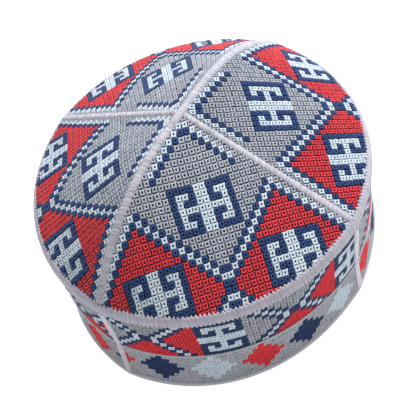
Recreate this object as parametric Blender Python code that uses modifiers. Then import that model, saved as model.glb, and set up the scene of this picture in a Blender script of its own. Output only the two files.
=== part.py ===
"""Stiff embroidered cap with a ridged crown of four panels, a satin rim band and a stitched side wall.

Units are metres, +Z is up, and the origin is the middle of the bottom edge. The ridge of the crown runs
front to back along Y, the front is at -Y, and the four seams of crown and wall lie on the X and Y planes.
"""

import math

import bmesh
import bpy
from mathutils import Vector

MM = 0.001

# Outlines of the cap at four heights: a rounded square drawn out a little along the ridge.
# radius is at the middle of a panel, corner is what the seams stand out beyond it, and oval narrows
# the outline across X and lengthens it along Y by the same share.
LEVELS = {
    #           height       radius       corner      oval
    "bottom": (0.0 * MM, 92.5 * MM, 1.8 * MM, -0.045),
    "piping": (27.4 * MM, 91.0 * MM, 1.6 * MM, -0.026),
    "wall_top": (61.2 * MM, 92.9 * MM, 1.4 * MM, -0.008),
    "rim": (66.6 * MM, 91.0 * MM, 1.4 * MM, -0.008),
}
CORNER_SHARPNESS = 3.5

# The crown is stiff cloth that bends but hardly stretches, so each side of it is a ruled surface: straight
# lines run from the ridge down to the rim, and the middle one is the cross seam. From the top towards its
# ends the ridge falls along a profile: RIDGE_SLOPE is the share of the fall that is a plain slope, and the
# rest is an arch of RIDGE_ROUNDNESS.
CROWN_RISE = 43.8 * MM
RIDGE_SLOPE = 0.03
RIDGE_ROUNDNESS = 2.9

CLOTH = 2.0 * MM
GAP = 0.3 * MM

RIDGE_CORD_WIDTH = 4.6 * MM
CROSS_CORD_WIDTH = 3.8 * MM
SIDE_CORD_WIDTH = 4.2 * MM
CORD_HEIGHT = 3.0 * MM
CORD_PROUD = 0.9 * MM
CORD_SIDES = 10
CORD_END_GAP = 0.8 * MM

BAND_THICK = 2.0 * MM
BAND_PROUD = 0.5 * MM
BAND_SHOULDER = 0.4
PIPING_WIDTH = 1.4 * MM
PIPING_PROUD = 0.35 * MM
BINDING_WIDTH = 2.8 * MM
BINDING_HEIGHT = 2.2 * MM

AROUND = 80
PANEL_STEPS = 14
WALL_STEPS = 18

# The quarters of the cap: the signs of X and Y in each.
QUARTERS = {
    "front_right": (1, -1),
    "back_right": (1, 1),
    "back_left": (-1, 1),
    "front_left": (-1, -1),
}
SEAM_ANGLES = {"right": 0.0, "back": 90.0, "left": 180.0, "front": 270.0}

COLOURS = {
    #               red    green   blue  roughness
    "crown_cloth": (0.46, 0.46, 0.50, 0.85),
    "side_cloth": (0.42, 0.42, 0.46, 0.85),
    "hem_cloth": (0.34, 0.34, 0.37, 0.85),
    "seam_satin": (0.55, 0.54, 0.60, 0.55),
    "band_satin": (0.52, 0.51, 0.57, 0.55),
    "piping_satin": (0.50, 0.46, 0.50, 0.60),
    "binding": (0.45, 0.45, 0.49, 0.70),
}


def clear_scene():
    for obj in list(bpy.data.objects):
        bpy.data.objects.remove(obj, do_unlink=True)


def make_collection(name, hidden=False):
    collection = bpy.data.collections.new(name)
    bpy.context.scene.collection.children.link(collection)
    collection.hide_render = hidden
    return collection


def make_material(name):
    red, green, blue, roughness = COLOURS[name]
    material = bpy.data.materials.new(name)
    material.use_nodes = True
    shader = material.node_tree.nodes["Principled BSDF"]
    shader.inputs["Base Color"].default_value = (red, green, blue, 1.0)
    shader.inputs["Roughness"].default_value = roughness
    shader.inputs["Metallic"].default_value = 0.0
    return material


# Shape of the cap


def toward_seam(angle):
    """0 at the middle of a quarter and 1 at the seams on the X and Y planes."""
    share = (angle % (math.pi / 2)) / (math.pi / 2)
    return abs(2 * share - 1)


def outline_radius(angle, level, inset=0.0):
    _, radius, corner, oval = level
    round_square = radius + corner * toward_seam(angle) ** CORNER_SHARPNESS
    return round_square * (1 + oval * math.cos(2 * angle)) - inset


def blend_levels(low, high, share):
    return tuple(a + (b - a) * share for a, b in zip(low, high))


def outline_point(angle, level, inset=0.0):
    radius = outline_radius(angle, level, inset)
    return Vector((radius * math.cos(angle), radius * math.sin(angle), level[0]))


def ridge_height(reach):
    """Share of the rise that is left at a share of the way from the top to an end of the ridge."""
    return 1 - RIDGE_SLOPE * reach - (1 - RIDGE_SLOPE) * reach ** RIDGE_ROUNDNESS


def ruling_foot(start):
    """Sine of the angle from the cross seam at which the straight line from a place on the ridge meets the rim.

    The ridge and the rim lie in one plane with that line, so the cloth bends along it without stretching.
    """
    arch = (1 - RIDGE_SLOPE) * start ** RIDGE_ROUNDNESS
    steepness = RIDGE_SLOPE + RIDGE_ROUNDNESS * (1 - RIDGE_SLOPE) * start ** (RIDGE_ROUNDNESS - 1)
    return min(1.0, steepness / (1 + (RIDGE_ROUNDNESS - 1) * arch))


def crown_share(across, along):
    """Share of the rise over a point of the plan, given as shares of the outline across and along the ridge."""
    if along <= across * math.tan(math.asin(RIDGE_SLOPE)):
        return 1 - math.hypot(across, along)
    low, high = 0.0, 1.0
    for _ in range(40):
        start = (low + high) / 2
        foot = ruling_foot(start)
        down = across / max(math.sqrt(1 - foot * foot), 1e-9)
        if start + down * (foot - start) < along:
            low = start
        else:
            high = start
    return (1 - down) * ridge_height(start)


def crown_height(x, y):
    """Height of the cloth's outer face over a point of the plan."""
    angle = math.atan2(y, x)
    reach = math.hypot(x, y) / outline_radius(angle, LEVELS["rim"])
    across, along = reach * abs(math.cos(angle)), reach * abs(math.sin(angle))
    if across < 1e-6:
        share = ridge_height(along)
    else:
        share = crown_share(across, along)
    return LEVELS["rim"][0] + CROWN_RISE * share


def angle_at_offset(level, signs, offset, at_ridge):
    """Angle at which the outline lies offset away from the ridge's or the cross seam's plane."""
    sign_x, sign_y = signs
    low, high = 0.0, math.pi / 4
    for _ in range(40):
        middle = (low + high) / 2
        angle = math.pi / 2 - middle if at_ridge else middle
        away = outline_radius(angle, level) * math.sin(middle)
        low, high = (middle, high) if away < offset else (low, middle)
    if at_ridge:
        return math.atan2(sign_y * math.cos(low), sign_x * math.sin(low))
    return math.atan2(sign_y * math.sin(low), sign_x * math.cos(low))


def quarter_angles(level, signs, offset_from_ridge, offset_from_cross):
    """First and last angle of a quarter's panel, anticlockwise seen from above."""
    ends = [
        angle_at_offset(level, signs, offset_from_ridge, True),
        angle_at_offset(level, signs, offset_from_cross, False),
    ]
    ends = [end % (2 * math.pi) for end in ends]
    start, stop = min(ends), max(ends)
    return start, stop


# Builders


def add_object(name, data, collection, material):
    obj = bpy.data.objects.new(name, data)
    collection.objects.link(obj)
    data.materials.append(material)
    return obj


def cloth_sheet(name, across, along, place, collection, material):
    """Thick cloth: a grid laid on the outer face by place(u, v), thickened inwards."""
    mesh = bpy.data.meshes.new(name)
    cage = bmesh.new()
    bmesh.ops.create_grid(cage, x_segments=across, y_segments=along, size=0.5)
    for vert in cage.verts:
        vert.co = place(vert.co.x + 0.5, vert.co.y + 0.5)
    bmesh.ops.remove_doubles(cage, verts=cage.verts, dist=0.00005)
    bmesh.ops.recalc_face_normals(cage, faces=cage.faces)
    middle = sum((face.calc_center_median() for face in cage.faces), Vector()) / len(cage.faces)
    outward = sum((face.normal * face.calc_area() for face in cage.faces), Vector())
    if outward.dot(middle) < 0:
        bmesh.ops.reverse_faces(cage, faces=cage.faces)
    cage.to_mesh(mesh)
    cage.free()
    mesh.shade_smooth()
    obj = add_object(name, mesh, collection, material)
    solidify = obj.modifiers.new("Cloth", "SOLIDIFY")
    solidify.thickness = CLOTH
    solidify.offset = -1.0
    solidify.use_even_offset = True
    return obj


def section_curve(name, points, collection):
    """Closed flat outline that a swept piece uses as its section."""
    curve = bpy.data.curves.new(name, "CURVE")
    curve.dimensions = "2D"
    spline = curve.splines.new("POLY")
    spline.points.add(len(points) - 1)
    for point, (x, y) in zip(spline.points, points):
        point.co = (x, y, 0.0, 1.0)
    spline.use_cyclic_u = True
    obj = bpy.data.objects.new(name, curve)
    obj.hide_render = True
    obj.display_type = "WIRE"
    collection.objects.link(obj)
    return obj


def oval_section(width, height):
    points = []
    for step in range(CORD_SIDES):
        turn = -2 * math.pi * (step + 0.5) / CORD_SIDES
        points.append((width / 2 * math.cos(turn), height / 2 * math.sin(turn)))
    return points


def path_curve(name, points, collection, material, closed=False):
    curve = bpy.data.curves.new(name, "CURVE")
    curve.dimensions = "3D"
    curve.twist_mode = "Z_UP"
    curve.use_fill_caps = not closed
    spline = curve.splines.new("POLY")
    spline.points.add(len(points) - 1)
    for point, place in zip(spline.points, points):
        point.co = (*place, 1.0)
    spline.use_cyclic_u = closed
    spline.use_smooth = True
    return add_object(name, curve, collection, material)


def swept(name, points, section, collection, material, closed=False):
    obj = path_curve(name, points, collection, material, closed)
    obj.data.bevel_mode = "OBJECT"
    obj.data.bevel_object = section
    return obj


# Pieces


def crown_panels(collection):
    material = make_material("crown_cloth")
    from_ridge = RIDGE_CORD_WIDTH / 2 + GAP
    from_cross = CROSS_CORD_WIDTH / 2 + GAP
    rim = LEVELS["rim"]
    for quarter, signs in QUARTERS.items():
        start, stop = quarter_angles(rim, signs, from_ridge, from_cross)
        tip = Vector((signs[0] * from_ridge, signs[1] * from_cross, 0.0))

        def place(u, v):
            edge = outline_point(start + (stop - start) * u, rim, GAP)
            flat = tip.lerp(edge, v)
            return Vector((flat.x, flat.y, crown_height(flat.x, flat.y)))

        cloth_sheet("crown_panel_" + quarter, PANEL_STEPS, PANEL_STEPS, place, collection, material)


def crown_seam_cords(collection, guides):
    material = make_material("seam_satin")
    sink = CORD_HEIGHT / 2 - CORD_PROUD
    ridge_section = section_curve("ridge_section", oval_section(RIDGE_CORD_WIDTH, CORD_HEIGHT), guides)
    cross_section = section_curve("cross_section", oval_section(CROSS_CORD_WIDTH, CORD_HEIGHT), guides)

    steps = 34
    end = outline_radius(math.pi / 2, LEVELS["rim"]) - CORD_END_GAP
    points = []
    for step in range(steps + 1):
        y = -end + 2 * end * step / steps
        points.append((0.0, y, crown_height(0.0, y) - sink))
    swept("ridge_seam_cord", points, ridge_section, collection, material)

    steps = 14
    start = RIDGE_CORD_WIDTH / 2 + GAP
    end = outline_radius(0.0, LEVELS["rim"]) - CORD_END_GAP
    for side, sign in (("right", 1), ("left", -1)):
        points = []
        for step in range(steps + 1):
            x = start + (end - start) * step / steps
            points.append((sign * x, 0.0, crown_height(x, 0.0) - sink))
        swept("cross_seam_cord_" + side, points, cross_section, collection, material)


def rim_band(collection, guides):
    """Band that rounds the edge between crown and wall, a little proud of the cloth."""
    top, bottom = LEVELS["rim"], LEVELS["wall_top"]
    foot = Vector((bottom[1] - top[1], bottom[0] - top[0]))
    outward = Vector((-foot.y, foot.x)).normalized()
    steps = 4
    section = []
    for step in range(steps + 1):
        share = step / steps
        section.append(foot * share + outward * BAND_PROUD * math.sin(math.pi * share))
    section.append(foot + Vector((-BAND_THICK, 0.0)))
    section.append(Vector((-BAND_THICK / 2, foot.y * BAND_SHOULDER)))
    guide = section_curve("band_section", section, guides)
    angles = [2 * math.pi * step / AROUND for step in range(AROUND)]
    points = [outline_point(angle, top) for angle in angles]
    swept("rim_band", points, guide, collection, make_material("band_satin"), closed=True)


def wall_sheets(prefix, low, high, rows, collection, material):
    offset = SIDE_CORD_WIDTH / 2 + GAP
    for quarter, signs in QUARTERS.items():
        ends = [quarter_angles(level, signs, offset, offset) for level in (low, high)]

        def place(u, v):
            level = blend_levels(low, high, v)
            start = ends[0][0] + (ends[1][0] - ends[0][0]) * v
            stop = ends[0][1] + (ends[1][1] - ends[0][1]) * v
            return outline_point(start + (stop - start) * u, level)

        cloth_sheet(prefix + quarter, WALL_STEPS, rows, place, collection, material)


def side_wall(collection):
    piping, wall_top, bottom = LEVELS["piping"], LEVELS["wall_top"], LEVELS["bottom"]
    tall = wall_top[0] - piping[0]
    half = PIPING_WIDTH / 2 + GAP
    low = blend_levels(piping, wall_top, half / tall)
    high = blend_levels(piping, wall_top, 1 - GAP / tall)
    wall_sheets("side_panel_", low, high, 4, collection, make_material("side_cloth"))

    low = blend_levels(bottom, piping, (BINDING_HEIGHT + GAP) / piping[0])
    high = blend_levels(bottom, piping, 1 - half / piping[0])
    wall_sheets("hem_panel_", low, high, 3, collection, make_material("hem_cloth"))


def piping_lengths(collection):
    material = make_material("piping_satin")
    level = LEVELS["piping"]
    offset = SIDE_CORD_WIDTH / 2 + GAP
    inset = PIPING_WIDTH / 2 - PIPING_PROUD
    for quarter, signs in QUARTERS.items():
        start, stop = quarter_angles(level, signs, offset, offset)
        angles = [start + (stop - start) * step / WALL_STEPS for step in range(WALL_STEPS + 1)]
        points = [outline_point(angle, level, inset) for angle in angles]
        obj = path_curve("piping_" + quarter, points, collection, material)
        obj.data.bevel_depth = PIPING_WIDTH / 2
        obj.data.bevel_resolution = 1


def side_seam_cords(collection, guides):
    """Each cord is drawn lying down, its outer side up, and then stood up at its corner."""
    material = make_material("seam_satin")
    section = section_curve("side_section", oval_section(SIDE_CORD_WIDTH, CORD_HEIGHT), guides)
    sink = CORD_HEIGHT / 2 - CORD_PROUD
    bottom, piping, wall_top = LEVELS["bottom"], LEVELS["piping"], LEVELS["wall_top"]
    foot = (BINDING_HEIGHT + GAP) / piping[0]
    head = 1 - GAP / (wall_top[0] - piping[0])
    for side, degrees in SEAM_ANGLES.items():
        angle = math.radians(degrees)
        stops = [blend_levels(bottom, piping, foot + (1 - foot) * step / 3) for step in range(3)]
        stops += [blend_levels(piping, wall_top, head * step / 3) for step in range(4)]
        points = [(level[0], 0.0, outline_radius(angle, level) - sink) for level in stops]
        obj = swept("side_seam_cord_" + side, points, section, collection, material)
        obj.rotation_euler = (0.0, -math.pi / 2, angle + math.pi)


def bottom_binding(collection, guides):
    """Bound edge with a flat underside, which the cap stands on."""
    half = BINDING_WIDTH / 2
    round_off = 0.6 * MM
    section = section_curve(
        "binding_section",
        [
            (-half, BINDING_HEIGHT - round_off),
            (round_off - half, BINDING_HEIGHT),
            (half - round_off, BINDING_HEIGHT),
            (half, BINDING_HEIGHT - round_off),
            (half, 0.0),
            (-half, 0.0),
        ],
        guides,
    )
    level = LEVELS["bottom"]
    angles = [2 * math.pi * step / AROUND for step in range(AROUND)]
    points = [outline_point(angle, level, half - BAND_PROUD) for angle in angles]
    swept("bottom_binding", points, section, collection, make_material("binding"), closed=True)


def main():
    clear_scene()
    cap = make_collection("kufi_cap")
    guides = make_collection("sections", hidden=True)
    crown_panels(cap)
    crown_seam_cords(cap, guides)
    rim_band(cap, guides)
    side_wall(cap)
    piping_lengths(cap)
    side_seam_cords(cap, guides)
    bottom_binding(cap, guides)


main()
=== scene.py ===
"""Embroidered cap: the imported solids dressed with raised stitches, satin stitched seams, a toothed rim band,
piping and a bound edge.

Shapes are worked out in millimetres and written to the meshes in metres. +Z is up, the ridge of the
crown runs along Y with its front at -Y, and the seams lie on the X and Y planes.
"""

import math

import bpy
import numpy as np
from mathutils import Matrix, Vector


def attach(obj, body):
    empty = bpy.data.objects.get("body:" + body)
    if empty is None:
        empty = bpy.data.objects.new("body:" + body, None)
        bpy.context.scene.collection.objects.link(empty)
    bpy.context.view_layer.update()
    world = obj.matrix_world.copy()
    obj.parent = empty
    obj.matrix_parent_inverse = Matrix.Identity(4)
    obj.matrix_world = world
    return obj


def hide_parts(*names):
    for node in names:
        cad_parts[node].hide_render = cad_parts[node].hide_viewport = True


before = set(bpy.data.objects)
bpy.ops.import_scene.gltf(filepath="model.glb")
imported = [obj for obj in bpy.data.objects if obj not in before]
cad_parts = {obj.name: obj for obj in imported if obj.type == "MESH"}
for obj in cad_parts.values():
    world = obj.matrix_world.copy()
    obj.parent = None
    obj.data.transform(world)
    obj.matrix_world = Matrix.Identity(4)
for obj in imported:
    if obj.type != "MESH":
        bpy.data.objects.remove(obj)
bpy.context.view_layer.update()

MM = 0.001
QUARTER = math.pi / 2
TINY = 1e-9
rng = np.random.default_rng(11)

# Shape of the cap, as in the solids. Each level is height, radius, corner and oval.
BOTTOM, PIPING, WALL_TOP, RIM = range(4)
LEVELS = np.array(
    [
        [0.0, 92.5, 1.8, -0.045],
        [27.4, 91.0, 1.6, -0.026],
        [61.2, 92.9, 1.4, -0.008],
        [66.6, 91.0, 1.4, -0.008],
    ]
)
CORNER_SHARPNESS = 3.5
CROWN_RISE = 43.8
RIDGE_SLOPE, RIDGE_ROUNDNESS = 0.03, 2.9
CLOTH = 2.0

# The crown's surface goes on past the rim, for slopes that are measured there.
OVERHANG_SLOPE = 1.2

# Sewn cloth is never quite even: the outline is a little skewed, the top lies a little to one side, and the
# piping is higher at the front than at the back.
SKEW = -0.012
TOP_SHIFT = 1.75
PIPING_TILT = 1.6

# Middles of the four quarters and places of the seams, in degrees seen from above.
QUARTERS = {"front_right": -45.0, "back_right": 45.0, "back_left": 135.0, "front_left": 225.0}
SEAMS = {"right": 0.0, "back": 90.0, "left": 180.0, "front": 270.0}


def uneven(*shape):
    """Random numbers round 0 with a spread of 1, none beyond 2."""
    return rng.normal(0, 1, shape).clip(-2, 2)


# Surfaces

RIDGE_HALVINGS = 26
ON_RIDGE = 1e-6


def toward_seam(angle):
    """0 in the middle of a quarter and 1 at its seams."""
    return np.abs(2 * np.mod(angle, QUARTER) / QUARTER - 1)


def outline(angle, level):
    """Radius at an angle. level may hold one row of LEVELS or one row for each angle."""
    radius, corner, oval = level[..., 1], level[..., 2], level[..., 3]
    square = radius + corner * toward_seam(angle) ** CORNER_SHARPNESS
    return square * (1 + oval * np.cos(2 * angle)) * (1 + SKEW * np.sin(2 * angle))


def crown_share(angle, reach):
    """Share of the crown's rise. Straight lines run down from the ridge to the rim, as on a bent stiff sheet.

    The line through a place is found by halving the part of the ridge that it can start from."""
    angle, reach = np.broadcast_arrays(np.asarray(angle, float), np.asarray(reach, float))
    beyond = np.maximum(reach - 1, 0)
    reach = np.minimum(reach, 1)
    across, along = reach * np.abs(np.cos(angle)), reach * np.abs(np.sin(angle))
    arch = 1 - RIDGE_SLOPE

    def foot_of(start):
        """How far along the line from start meets the rim, and the share of it down to the place."""
        steep = RIDGE_SLOPE + RIDGE_ROUNDNESS * arch * start ** (RIDGE_ROUNDNESS - 1)
        foot = np.minimum(steep / (1 + (RIDGE_ROUNDNESS - 1) * arch * start**RIDGE_ROUNDNESS), 1)
        return foot, across / np.maximum(np.sqrt(1 - foot * foot), TINY)

    low, high = np.zeros_like(reach), np.ones_like(reach)
    for _ in range(RIDGE_HALVINGS):
        start = (low + high) / 2
        foot, down = foot_of(start)
        above = start + down * (foot - start) < along
        low, high = np.where(above, start, low), np.where(above, high, start)
    share = (1 - foot_of(start)[1]) * (1 - RIDGE_SLOPE * start - arch * start**RIDGE_ROUNDNESS)
    on_ridge = 1 - RIDGE_SLOPE * along - arch * along**RIDGE_ROUNDNESS
    share = np.where(across < ON_RIDGE, on_ridge, share)
    share = np.where(along <= across * math.tan(math.asin(RIDGE_SLOPE)), 1 - reach, share)
    return share - OVERHANG_SLOPE * beyond


def crown_point(angle, reach):
    """Outer face of the crown: reach is 0 at the top and 1 at the rim."""
    radius = outline(angle, LEVELS[RIM]) * reach
    return np.stack(
        [
            radius * np.cos(angle) + TOP_SHIFT * (1 - reach),
            radius * np.sin(angle),
            LEVELS[RIM, 0] + CROWN_RISE * crown_share(angle, reach),
        ],
        -1,
    )


def crown_over(x, y):
    """Point of the crown over a place in the plan."""
    reach = np.hypot(x, y) / outline(np.arctan2(y, x), LEVELS[RIM])
    x = x - TOP_SHIFT * (1 - reach)
    angle = np.arctan2(y, x)
    return crown_point(angle, np.hypot(x, y) / outline(angle, LEVELS[RIM]))


def wall_point(angle, height):
    """Outer face of the side. height counts levels, from BOTTOM through PIPING and WALL_TOP to RIM."""
    angle, height = np.broadcast_arrays(np.asarray(angle, float), np.asarray(height, float))
    low = np.clip(np.floor(height), BOTTOM, WALL_TOP).astype(int)
    share = (height - low)[..., None]
    level = LEVELS[low] * (1 - share) + LEVELS[low + 1] * share
    radius = outline(angle, level)
    up = level[..., 0] - PIPING_TILT * np.sin(angle) * np.clip(1 - np.abs(height - PIPING), 0, 1)
    return np.stack([radius * np.cos(angle), radius * np.sin(angle), up], -1)


def unit(vectors):
    return vectors / np.maximum(np.linalg.norm(vectors, axis=-1, keepdims=True), TINY)


def with_normals(place, column, row, step):
    """Points of a patch and its outward normals. Seen from outside, columns run right and rows down."""
    right = place(column + step, row) - place(column - step, row)
    up = place(column, row - step) - place(column, row + step)
    return place(column, row), unit(np.cross(right, up))


# How the stitch chart lies on each crown panel. Rows are counted in rows of stitches.
#   pitch: columns' spacing; tip: rows from the top of the crown to row 0
#   rows: rows down the middle and down a seam; wedge: half the chart's angle in degrees
#   offset: columns that the chart lies to one side
#   down, turn: how the cloth's sewing draws the chart out along and across the panel
CROWN_LAYOUT = {
    "front_right": {
        "pitch": 0.8741,
        "tip": 1.976,
        "rows": (28.562, 28.299),
        "wedge": 40.884,
        "offset": -0.236,
        "down": (0.0409, 0.0218, -0.1077, -0.0146, -0.1052),
        "turn": (0.0228, -0.1187, -0.0254, 0.0992, -0.1519),
    },
    "back_right": {
        "pitch": 0.8686,
        "tip": 1.828,
        "rows": (28.210, 28.735),
        "wedge": 40.757,
        "offset": 0.169,
        "down": (-0.0173, 0.0138, -0.0790, -0.0857, 0.1312),
        "turn": (0.0241, -0.1210, 0.0084, 0.0193, 0.1143),
    },
    "back_left": {
        "pitch": 0.8543,
        "tip": 2.148,
        "rows": (28.092, 28.788),
        "wedge": 41.520,
        "offset": 0.802,
        "down": (-0.0002, 0.0027, -0.1150, 0.0962, 0.0179),
        "turn": (0.0015, -0.1349, -0.0556, 0.0554, 0.0029),
    },
    "front_left": {
        "pitch": 0.8757,
        "tip": 2.278,
        "rows": (28.128, 28.561),
        "wedge": 41.047,
        "offset": 0.378,
        "down": (0.0073, -0.0119, -0.1189, 0.0115, 0.1646),
        "turn": (0.0570, -0.0568, 0.0011, -0.0598, -0.0362),
    },
}

# The crown's cloth is measured on a grid of angles from a panel's middle and reaches. Places on it are looked
# up by their share of the length from top to rim, and never quite at the end of the last step.
GRID_TURNS = np.radians(np.linspace(-54, 54, 109))
GRID_REACHES = np.linspace(0, 1.08, 217)
GRID_SHARES = np.linspace(0, 1.06, 213)
GRID_MARGIN = 0.001


def grid_place(value, grid):
    """Number of the grid's step that holds a value, and how far into that step it lies."""
    place = np.clip((value - grid[0]) / (grid[1] - grid[0]), 0, len(grid) - 1 - GRID_MARGIN)
    step = place.astype(int)
    return step, place - step


class CrownPatch:
    """Stitch chart of one crown panel. Columns are counted from its middle and rows from the top."""

    def __init__(self, name):
        self.middle = math.radians(QUARTERS[name])
        self.layout = CROWN_LAYOUT[name]
        turns, reaches = np.meshgrid(GRID_TURNS, GRID_REACHES, indexing="ij")
        steps = np.linalg.norm(np.diff(crown_point(self.middle + turns, reaches), axis=1), axis=-1)
        lengths = np.concatenate([np.zeros((len(steps), 1)), np.cumsum(steps, axis=1)], 1)
        to_rim = [np.interp(1.0, GRID_REACHES, row) for row in lengths]
        self.reaches = np.array(
            [np.interp(GRID_SHARES, row / whole, GRID_REACHES) for row, whole in zip(lengths, to_rim)]
        )

    def polar(self, column, row):
        """Shares of the way from the middle to a seam (-1 to 1) and down to the rim, on the flat chart."""
        layout = self.layout
        x = (column + layout["offset"]) * layout["pitch"]
        y = row + layout["tip"]
        turn = np.arctan2(x, y) / math.radians(layout["wedge"])
        middle_rows, seam_rows = layout["rows"]
        return turn, np.hypot(x, y) / (middle_rows + (seam_rows - middle_rows) * turn**2)

    def lay(self, column, row):
        """The same two shares, as the chart lies on the sewn cloth."""
        turn, share = self.polar(column, row)
        even, early, sides, skew, twist = self.layout["down"]
        upper = 1 - 2 * share
        stretch = even + early * upper + sides * turn**2 + skew * turn + twist * turn * upper
        down = share + share * (1 - share) * stretch
        bend, spread, lean, drift, bow = self.layout["turn"]
        beside = share - 0.5
        turn = (turn + bend * turn * (1 - turn**2)) * (1 + spread * (1 - share)) + (1 - turn**2) * (
            lean + drift * beside + bow * beside**2
        )
        return turn, down

    def place(self, column, row):
        turn, down = self.lay(column, row)
        return self.at(turn, np.minimum(down, 1.0))

    def at(self, turn, down):
        """Point at a share of the way from the middle to a seam and a share of the length from top to rim."""
        turn = turn * QUARTER / 2
        i, across = grid_place(turn, GRID_TURNS)
        j, along = grid_place(down, GRID_SHARES)
        reaches = self.reaches
        reach = (reaches[i, j] * (1 - across) + reaches[i + 1, j] * across) * (1 - along)
        reach = reach + (reaches[i, j + 1] * (1 - across) + reaches[i + 1, j + 1] * across) * along
        return crown_point(self.middle + turn, reach)


# How the stitch charts lie on the side. Each quarter is cut from the cloth at another place.
#   heights: levels of the upper and lower edge; columns, rows: stitches across a quarter and down it
#   start: columns from each quarter's left seam to the chart's start; middle: columns to a stitch's middle
#   drop: rows that the chart is pushed down; bow, tilt: how it is drawn sideways and lies aslant
#   highest, lowest: shares of the way down between which stitches are set; cloth_top: where the cloth starts
WALL_LAYOUT = {
    "heights": (WALL_TOP, PIPING),
    "columns": 42.9,
    "rows": 10,
    "start": {"front_right": 2.13, "back_right": 5.0, "back_left": 10.0, "front_left": 11.25},
    "middle": 0.5,
    "drop": 0.08,
    "bow": -0.023,
    "tilt": -0.59,
    "highest": -0.08,
    "lowest": 1.03,
    "cloth_top": -0.04,
}
HEM_LAYOUT = {
    "heights": (PIPING, BOTTOM),
    "columns": 43.8,
    "rows": 9,
    "start": {"front_right": 0.53, "back_right": 5.25, "back_left": 9.0, "front_left": 15.5},
    "middle": 0.0,
    "drop": -0.45,
    "bow": 0.029,
    "tilt": -0.44,
    "highest": 0.0,
    "lowest": 0.93,
    "cloth_top": 0.0,
}

# Share of a quarter beside each seam that has no stitches, because the side cord covers it. SPARE_ROWS are
# tried above and below the chart, where it lies aslant.
UNDER_SIDE_CORD = 0.007
SPARE_ROWS = 2


class SidePatch:
    """Stitch chart of one quarter of the side between two heights. Columns run to the right, rows down."""

    def __init__(self, name, layout):
        self.left = math.radians(QUARTERS[name]) - QUARTER / 2
        self.layout = layout
        self.start = layout["start"][name]

    def lay(self, column, row):
        """Shares of the way from seam to seam and from the upper edge to the lower."""
        layout = self.layout
        across = (column + self.start) / layout["columns"]
        across = across + layout["bow"] * across * (1 - across)
        return across, (row + layout["drop"] + layout["tilt"] * (1 - 2 * across)) / layout["rows"]

    def at(self, across, down):
        top, bottom = self.layout["heights"]
        return wall_point(self.left + QUARTER * across, top + (bottom - top) * down)

    def place(self, column, row):
        across, down = self.lay(column, row)
        return self.at(across, np.clip(down, self.layout["highest"], 1.0))

    def cells(self, colour):
        """Every stitch between the seams: (column, row, colour) of its middle."""
        layout = self.layout
        first, last = -math.ceil(self.start), math.ceil(layout["columns"] - self.start)
        found = []
        for row in range(-SPARE_ROWS, layout["rows"] + SPARE_ROWS):
            for column in range(first, last + 1):
                middle = column + layout["middle"], row + 0.5
                across, down = self.lay(*middle)
                between_cords = UNDER_SIDE_CORD < across < 1 - UNDER_SIDE_CORD
                if between_cords and layout["highest"] < down < layout["lowest"]:
                    found.append((*middle, colour(column, row)))
        return found


# Stitch charts. g is the grey ground, W white, B navy and R red.

CROWN_MOTIF = [
    "BBBBWWBBBB",
    "BWWBWWBWWB",
    "BWBBWWBBWB",
    "BWWWWWWWWB",
    "BWBBWWBBWB",
    "BWWBWWBWWB",
    "BBBBWWBBBB",
]
WALL_MOTIF = [
    "BBBBBBB",
    "BWWWWWB",
    "BWBWBWB",
    "BBBWBBB",
    "WWWWWWW",
    "WWWWWWW",
    "BBBWBBB",
    "BWBWBWB",
    "BWWWWWB",
    "BBBBBBB",
]

# Rows and columns that can lie on a crown panel.
CROWN_ROWS, CROWN_COLUMNS = range(-2, 28), range(-26, 26)

# The wall's chart repeats after this many columns, and its motif fills the last of them.
WALL_REPEAT, WALL_MOTIF_START, WALL_SHIFT = 23, 16, 4
CROSSING_COLUMN, CROSSING_ROW = 7.5, 4.5

# A diamond of the hem: columns from one to the next, the first one's middle, and steps from middle to point.
DIAMOND_REPEAT, DIAMOND_COLUMN, DIAMOND_ROW, DIAMOND_STEPS = 8, 6, 4, 3


def motif_stitch(motif, row, place):
    """Colour of a stitch of a motif, or None outside it."""
    if 0 <= row < len(motif) and 0 <= place < len(motif[0]):
        return motif[row][place]
    return None


def crown_stitch(column, row):
    """Colour of a crown stitch. Both halves of a panel are alike, so only the side's column counts.

    The numbers are rows and columns of the chart. A grey diamond with a motif fills the panel's middle.
    Below it on either side lies a red field with a motif, and a line of navy and white stitches runs down
    beside each seam."""
    side = column if column >= 0 else -column - 1
    motif = motif_stitch(CROWN_MOTIF, row - 9, side + 5) or motif_stitch(CROWN_MOTIF, row - 19, side - 6)
    if motif:
        return motif
    if row <= 0:
        return "W" if (row, side) == (0, 0) else "g"
    diamond = 10 - abs(row - 11)
    if row <= 21 and side == diamond:
        return "g" if row in (8, 9, 10) else "B"
    if (row <= 6 or 11 <= row <= 21) and side == diamond + 1:
        return "W"
    if row in (22, 25) and side == 0:
        return "W"
    if row == 26 and side < 2:
        return "BW"[side]
    field = 23 - row if row <= 23 else row - 24
    line = row - 1
    if row >= 12 and side == field:
        return "B"
    if row == 12 and side == 12:
        return "W"
    if row >= 13:
        if side == line:
            return "B"
        if side == line + 1:
            return "W"
        if field < side < line:
            return "R"
    return "g"


def wall_stitch(column, row):
    """Colour of a stitch of the side wall: tall motifs between lattice crossings, row 0 at the top."""
    place = (column + WALL_SHIFT) % WALL_REPEAT
    if place >= WALL_MOTIF_START:
        return motif_stitch(WALL_MOTIF, row, place - WALL_MOTIF_START) or "g"
    step = abs(place - CROSSING_COLUMN) - abs(row - CROSSING_ROW)
    if step in (0, 2):
        return "B"
    if step == 1:
        return "W"
    if step > 2:
        return "g" if place < CROSSING_COLUMN else "R"
    return "g" if row < CROSSING_ROW else "R"


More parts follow.
